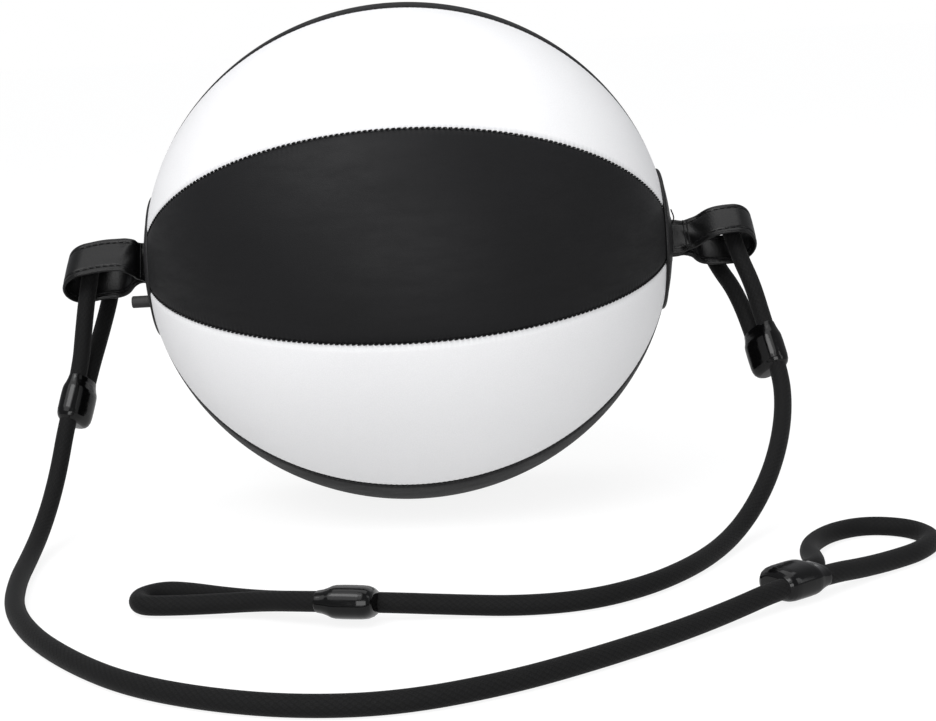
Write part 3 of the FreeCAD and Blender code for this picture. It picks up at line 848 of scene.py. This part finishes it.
def edge_stitches(loop):
    """Origins and frames of the stitches in the two grooves of both faces, evenly spaced along the
    leather from one side of the neck to the other."""
    start, pitch, sunk = 0.008, 0.0027, 0.00028
    sewn_length = loop.length[-1] - 2 * start
    count = int(sewn_length / pitch)
    spots = start + (np.arange(count) + 0.5) * sewn_length / count
    origins = []
    frames = []
    for row in (-1, 1):
        for face in (-1, 1):
            shift = np.array([face * (loop.leather / 2 - sunk)])
            line, beside = (loop.surface(np.array([row * (loop.width / 2 - inset)]), shift)[:, 0]
                            for inset in (STRAP_SEAM, STRAP_SEAM + 0.001))
            point, across, along = (
                stacked(*(np.interp(spots, loop.length, part[:, axis]) for axis in range(3)))
                for part in (line, beside - line, np.gradient(line, axis=0)))
            along = unit(along)
            origins.append(point)
            frames.append(stitch_frames(along, unit(np.cross(along, across))))
    return np.concatenate(origins), np.concatenate(frames)


def neck_stitches(loop, rows):
    """Origins and frames of the bars of tight stitches across both faces of a neck."""
    bar = np.linspace(-1, 1, 15) * (loop.width / 2 - 0.0017)
    x, w = (part.ravel() for part in np.meshgrid(loop.neck + rows, bar))
    rise = loop.path[1].max() - loop.leather / 2
    origins = []
    frames = []
    for face, wall in ((-1, loop.rear), (1, loop.wall)):
        part = np.clip((x - loop.neck) / (wall - loop.neck), 0, 1)
        height = face * (loop.leather + 0.00005 + 2 * rise * part * part)
        tilt = loop.turn(x)
        origins.append(loop.place(x, height, w))
        outward = np.stack([0 * x, -face * np.cos(tilt), face * np.sin(tilt)], -1)
        across = np.stack([0 * x, np.sin(tilt), np.cos(tilt)], -1)
        along = np.cross(across, outward)
        frames.append(np.stack([across * 0.97 + along * 0.25, np.cross(outward, across), outward], 1))
    return np.concatenate(origins), np.concatenate(frames)


def build_straps(context):
    """Strap loops: the strip's section carried along the loop's path, with a row of stitches in each
    groove and bars of tight stitches across the neck. Their necks bend at the pole holes."""
    _, sizes, _, colours = settings()
    leather = leather_material("Strap Leather", colours.strap, roughness=0.34, pebble=700.0,
                               depth=0.14, change=0.35, specular=0.26)
    w, t = strap_section(sizes)
    for side, bars in (("left", [0.0026]), ("right", [0.0030, 0.0044])):
        loop = Loop(sizes, side)
        uv = stacked(loop.length[:, None], w)
        strap = closed_tube(side + "_strap_leather", loop.surface(w, t), uv)
        paint(strap, leather)
        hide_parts(side + "_strap")
        stitches = sewn(side + "_strap_stitches", thread_stitch(0.0021, 0.0002, slant=0.00006),
                        *edge_stitches(loop))
        tack = sewn(side + "_neck_bar_stitches", thread_stitch(0.0017, 0.0003, slant=0.0002),
                    *neck_stitches(loop, np.array(bars)))
        for piece in (strap, stitches, tack):
            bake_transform(piece)


# ---------------------------------------------------------------- cords

def spline_line(name, points):
    """Points read along the smooth spline that the route's points control."""
    curve = bpy.data.curves.new(name, "CURVE")
    curve.dimensions = "3D"
    curve.resolution_u = 16
    spline = curve.splines.new("NURBS")
    spline.points.add(len(points) - 1)
    flat = np.concatenate([np.array(points), np.ones((len(points), 1))], axis=1)
    spline.points.foreach_set("co", flat.ravel())
    spline.order_u = 3
    spline.use_endpoint_u = True
    holder = bpy.data.objects.new(name, curve)
    mesh = bpy.data.meshes.new_from_object(holder)
    line = np.empty(len(mesh.vertices) * 3)
    mesh.vertices.foreach_get("co", line)
    bpy.data.meshes.remove(mesh)
    bpy.data.objects.remove(holder)
    bpy.data.curves.remove(curve)
    return line.reshape(-1, 3)


def steady_frames(line):
    """Directions beside and above a line. The side direction starts level and is carried on, each
    time with its part along the line taken away."""
    along = unit(np.gradient(line, axis=0))
    beside = np.empty_like(along)
    side = np.cross(along[0], [0.0, 0.0, 1.0])
    for index, way in enumerate(along):
        side = unit(side - way * side.dot(way))
        beside[index] = side
    return beside, np.cross(along, beside)


def tube_piece(name, line, radius, sides):
    """Round tube along a line: each ring is radius times the cosine of the turn beside the line plus
    radius times its sine above it. Its UV is the length along it and the part of a turn round it."""
    beside, above = steady_frames(line)
    turn = np.linspace(0, 2 * math.pi, sides, endpoint=False)
    ring = np.cos(turn)[None, :, None] * beside[:, None, :] + np.sin(turn)[None, :, None] * above[:, None, :]
    points = end_middles(line[:, None, :] + radius * ring)
    length = running_length(np.linalg.norm(np.diff(line, axis=0), axis=1))
    along = np.concatenate([[-radius], length, [length[-1] + radius]])
    piece = mesh_piece(name, points.reshape(-1, 3), grid_faces(*points.shape[:2], round_columns=True),
                       round_uv(along, sides))
    return piece, length[-1]


def build_cords(context):
    """Woven elastic cords along their routes."""
    _, _, sizes, colours = settings()
    sleeve = cord_material(colours.cord)
    for side, length in (("left", sizes.left_length), ("right", sizes.right_length)):
        line = spline_line(side + "_cord_route", CORD_ROUTES[side])
        cord, measured = tube_piece(side + "_cord_woven", line, sizes.diameter / 2, 28)
        print(side, "cord length", round(measured, 4))
        paint(cord, sleeve)
        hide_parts(side + "_cord")
        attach(cord, side + "_cord")


def build_ferrules(context):
    """Moulded ferrules. Round a section, the place is a superellipse of power 2.6. Along the ferrule
    its half width and half thickness grow from the throat over a soft shoulder, stay level and turn
    in at the closed end. A thin parting line stands out along both narrow sides. The stations and
    their half widths and half thicknesses are in millimetres."""
    _, _, sizes, colours = settings()
    plastic = plastic_material("Ferrule Plastic", colours.ferrule, 0.09)
    turn = np.linspace(0, 2 * math.pi, 72, endpoint=False)[None, :]
    power = 2.6
    stations = np.array([0, 0, 0.3, 0.9, 2.2, 3.8, 5.2, 6.2, 8.5, 12, 14.8, 16.4, 17.7, 18.6, 19.1, 19.2])
    widths = np.array([5, 7.4, 7.7, 7.8, 7.95, 8.2, 8.5, 8.6, 8.65, 8.65, 8.6, 8.4, 7.95, 7.2, 6.1, 3.6])
    thicks = np.array([1.9, 3.6, 3.85, 3.95, 4.2, 4.8, 5.45, 5.65, 5.75, 5.75, 5.7, 5.5, 4.95, 4.2, 3.3,
                       1.3])
    steps = np.arange(len(stations))
    fine = np.linspace(0, steps[-1], 76)
    start = 0.0008
    place, width, thick = (np.interp(fine, steps, part)[:, None] for part in (
        start + stations / stations[-1] * sizes.ferrule, widths / 1000, thicks / 1000))
    cosine, sine_of = np.cos(turn), np.sin(turn)
    parting = 0.00012 * bell(np.abs(sine_of), 0.045) * np.clip(width / 0.008 - 0.4, 0, 1)
    across = np.sign(cosine) * np.abs(cosine) ** (2 / power) * (width + parting)
    through = np.sign(sine_of) * np.abs(sine_of) ** (2 / power) * thick
    uv = stacked(place, turn)
    for node, points in FERRULES.items():
        throat, inward, beside = (np.array(point) for point in points)
        axis = unit(inward - throat)
        wide = beside - throat
        wide = unit(wide - axis * wide.dot(axis))
        flat = np.cross(axis, wide)
        rings = throat + place[..., None] * axis + across[..., None] * wide + through[..., None] * flat
        ferrule = closed_tube(node + "_moulding", rings, uv)
        paint(ferrule, plastic)
        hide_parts(node)
        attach(ferrule, node.split("_")[0] + "_cord")


def build_inner_parts(context):
    """Finishes for the CAD pieces that stay: the bladder, lining, discs, anchors and valve."""
    dark = (0.03, 0.03, 0.03)
    rubber = rubber_material("Valve Rubber", (0.012, 0.012, 0.012))
    bladder = rubber_material("Bladder Rubber", dark)
    lining = cloth_material("Lining Cloth", dark)
    split = leather_material("Split Leather", (0.03, 0.027, 0.025), roughness=0.8, pebble=600.0, depth=0.3)
    finishes = {"bladder": bladder, "lining": lining, "valve_stem": rubber, "valve_core": rubber,
                "left_backing_disc": split, "right_backing_disc": split,
                "left_strap_anchor": split, "right_strap_anchor": split}
    for node, material in finishes.items():
        paint(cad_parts[node], material)


def build_thread_end(context):
    """Loose end of sewing thread that curls up beside the right strap's neck."""
    top = centre_height()
    route = [(0.1106, -0.0012, top + 0.0060), (0.1116, -0.0016, top + 0.0080),
             (0.1114, -0.0020, top + 0.0098), (0.1108, -0.0019, top + 0.0112),
             (0.1104, -0.0018, top + 0.0124)]
    line = spline_line("thread_end_route", route)
    thread, _ = tube_piece("loose_thread_end", line, 0.00028, 10)
    paint(thread, bpy.data.materials["Sewing Thread"])
    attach(thread, "ball")


# ---------------------------------------------------------------- stage

def area_light(name, place, aim, width, height, power):
    """Soft box at a place, facing a point."""
    light = bpy.data.lights.new(name, "AREA")
    light.shape = "RECTANGLE"
    light.size = width
    light.size_y = height
    light.energy = power
    holder = bpy.data.objects.new(name, light)
    back = unit(np.array(place) - np.array(aim))
    right = unit(np.cross([0, 0, 1], back))
    up = np.cross(back, right)
    holder.matrix_world = Matrix([[right[i], up[i], back[i], place[i]] for i in range(3)] + [[0, 0, 0, 1]])
    bpy.context.scene.collection.objects.link(holder)


def build_world():
    """White all round where it is seen, and a dimmer grey where it only lights the ball."""
    world = bpy.data.worlds.new("Studio")
    world.use_nodes = True
    tree = world.node_tree
    tree.nodes.clear()
    seen = add_node(tree, "ShaderNodeBackground", {"Color": (1, 1, 1, 1), "Strength": 1.0})
    lighting = add_node(tree, "ShaderNodeBackground", {"Color": (0.96, 0.97, 1.0, 1), "Strength": 0.34})
    path = add_node(tree, "ShaderNodeLightPath")
    mix = add_node(tree, "ShaderNodeMixShader", {0: path.outputs["Is Camera Ray"], 1: lighting.outputs[0],
                                                 2: seen.outputs[0]})
    add_node(tree, "ShaderNodeOutputWorld", {"Surface": mix.outputs[0]})
    bpy.context.scene.world = world


def build_stage(context):
    """Pale floor, world, sun and soft boxes, and then the camera."""
    scene = bpy.context.scene
    reach = 30.0
    corners = [(-reach, -reach, 0), (reach, -reach, 0), (reach, reach, 0), (-reach, reach, 0)]
    mesh = bpy.data.meshes.new("floor")
    mesh.from_pydata(corners, [], [(0, 1, 2, 3)])
    floor = bpy.data.objects.new("floor", mesh)
    scene.collection.objects.link(floor)
    material, tree, shader = new_material("Pale Floor")
    seen = add_node(tree, "ShaderNodeLightPath").outputs["Is Camera Ray"]
    set_inputs(tree, shader, {"Base Color": (0.20, 0.20, 0.20, 1), "Roughness": 0.9,
                              "Specular IOR Level": 0.0, "Emission Color": (1, 1, 1, 1),
                              "Emission Strength": spread(tree, seen, 0.0, 1.0, 0.55, 0.86)})
    paint(floor, material)
    build_world()
    scene.view_settings.view_transform = "Standard"
    sun = bpy.data.lights.new("overhead_sky", "SUN")
    sun.energy = 1.3
    sun.angle = math.radians(60)
    sky = bpy.data.objects.new("overhead_sky", sun)
    sky.rotation_euler = (math.radians(25), math.radians(-22), 0)
    scene.collection.objects.link(sky)
    area_light("key_softbox", (-0.55, -0.75, 1.15), aim=(0, 0, 0.10), width=0.7, height=0.5, power=5.0)
    area_light("top_softbox", (0.1, 0.3, 1.3), aim=(0, 0, 0.10), width=1.1, height=0.9, power=4.0)
    area_light("front_fill", (0.0, -1.6, 0.35), aim=(0, 0, 0.08), width=1.2, height=0.6, power=10.0)
    area_light("right_softbox", (1.1, -0.5, 0.6), aim=(0, 0, 0.08), width=0.3, height=0.9, power=1.5)
    add_camera(scene)


def add_camera(scene):
    """Camera in front of the ball, which looks a little down and is rolled slightly."""
    place = (0.016022, -0.722687, 0.191369)
    pitch, roll, yaw = (math.radians(angle) for angle in (10.6376, -3.0623, -0.5109))
    camera_data = bpy.data.cameras.new("camera")
    camera_data.sensor_width = 36.0
    camera_data.lens = 66.604
    camera_data.clip_start = 0.02
    camera = bpy.data.objects.new("camera", camera_data)
    look = (Matrix.Rotation(yaw, 3, "Z") @ Matrix.Rotation(math.pi / 2 - pitch, 3, "X")
            @ Matrix.Rotation(roll, 3, "Z"))
    camera.matrix_world = Matrix.Translation(place) @ look.to_4x4()
    scene.collection.objects.link(camera)
    scene.camera = camera


def build_shared(context):
    """Node groups and the thread material that several pieces use."""
    leather_grain_group()
    braid_group()
    twist_group()
    handling_group()
    thread_material(bpy.context.scene.ball_colours.thread)


class PUNCHBALL_OT_shared(bpy.types.Operator):
    """Make the shared node groups and thread"""
    bl_idname = "punchball.shared"
    bl_label = "Shared Materials"

    def execute(self, context):
        build_shared(context)
        return {"FINISHED"}


class PUNCHBALL_OT_panels(bpy.types.Operator):
    """Sew the eight leather panels"""
    bl_idname = "punchball.panels"
    bl_label = "Panels"

    def execute(self, context):
        build_panels(context)
        return {"FINISHED"}


class PUNCHBALL_OT_seam_stitches(bpy.types.Operator):
    """Stitch the seams between panels"""
    bl_idname = "punchball.seam_stitches"
    bl_label = "Seam Stitches"

    def execute(self, context):
        build_seam_stitches(context)
        return {"FINISHED"}


class PUNCHBALL_OT_caps(bpy.types.Operator):
    """Put a sewn leather cap on each pole"""
    bl_idname = "punchball.caps"
    bl_label = "Pole Caps"

    def execute(self, context):
        build_caps(context)
        return {"FINISHED"}


class PUNCHBALL_OT_straps(bpy.types.Operator):
    """Fold and sew the two strap loops"""
    bl_idname = "punchball.straps"
    bl_label = "Strap Loops"

    def execute(self, context):
        build_straps(context)
        return {"FINISHED"}


class PUNCHBALL_OT_ferrules(bpy.types.Operator):
    """Mould the four cord ferrules"""
    bl_idname = "punchball.ferrules"
    bl_label = "Ferrules"

    def execute(self, context):
        build_ferrules(context)
        return {"FINISHED"}


class PUNCHBALL_OT_cords(bpy.types.Operator):
    """Lay the two woven elastic cords"""
    bl_idname = "punchball.cords"
    bl_label = "Cords"

    def execute(self, context):
        build_cords(context)
        return {"FINISHED"}


class PUNCHBALL_OT_inner_parts(bpy.types.Operator):
    """Finish the bladder, lining and valve"""
    bl_idname = "punchball.inner_parts"
    bl_label = "Inner Parts"

    def execute(self, context):
        build_inner_parts(context)
        return {"FINISHED"}


class PUNCHBALL_OT_thread_end(bpy.types.Operator):
    """Add the loose thread end"""
    bl_idname = "punchball.thread_end"
    bl_label = "Thread End"

    def execute(self, context):
        build_thread_end(context)
        return {"FINISHED"}


class PUNCHBALL_OT_stage(bpy.types.Operator):
    """Set the floor, lights and camera"""
    bl_idname = "punchball.stage"
    bl_label = "Stage"

    def execute(self, context):
        build_stage(context)
        return {"FINISHED"}


OPERATORS = [PUNCHBALL_OT_shared, PUNCHBALL_OT_panels, PUNCHBALL_OT_seam_stitches,
             PUNCHBALL_OT_caps, PUNCHBALL_OT_straps, PUNCHBALL_OT_ferrules,
             PUNCHBALL_OT_cords, PUNCHBALL_OT_inner_parts, PUNCHBALL_OT_thread_end,
             PUNCHBALL_OT_stage]


class PUNCHBALL_PT_panel(bpy.types.Panel):
    """Sizes, colours and steps of the punching ball"""
    bl_label = "Punching Ball"
    bl_idname = "PUNCHBALL_PT_panel"
    bl_space_type = "VIEW_3D"
    bl_region_type = "UI"
    bl_category = "Punching Ball"

    def draw(self, context):
        for group in (context.scene.ball_sizes, context.scene.strap_sizes, context.scene.cord_sizes,
                      context.scene.ball_colours):
            box = self.layout.box()
            for name in group.bl_rna.properties.keys():
                if name not in ("rna_type", "name"):
                    box.prop(group, name)
        for step in OPERATORS:
            self.layout.operator(step.bl_idname)


PROPERTY_GROUPS = [("ball_sizes", BallSizes), ("strap_sizes", StrapSizes), ("cord_sizes", CordSizes),
                   ("ball_colours", BallColours)]


def register():
    for name, group in PROPERTY_GROUPS:
        bpy.utils.register_class(group)
        setattr(bpy.types.Scene, name, PointerProperty(type=group))
    for step in OPERATORS:
        bpy.utils.register_class(step)
    bpy.utils.register_class(PUNCHBALL_PT_panel)


def unregister():
    bpy.utils.unregister_class(PUNCHBALL_PT_panel)
    for step in reversed(OPERATORS):
        bpy.utils.unregister_class(step)
    for name, group in reversed(PROPERTY_GROUPS):
        delattr(bpy.types.Scene, name)
        bpy.utils.unregister_class(group)


def main():
    """Runs every step in order."""
    register()
    for step in OPERATORS:
        group, name = step.bl_idname.split(".")
        getattr(getattr(bpy.ops, group), name)()


if __name__ == "__main__":
    main()
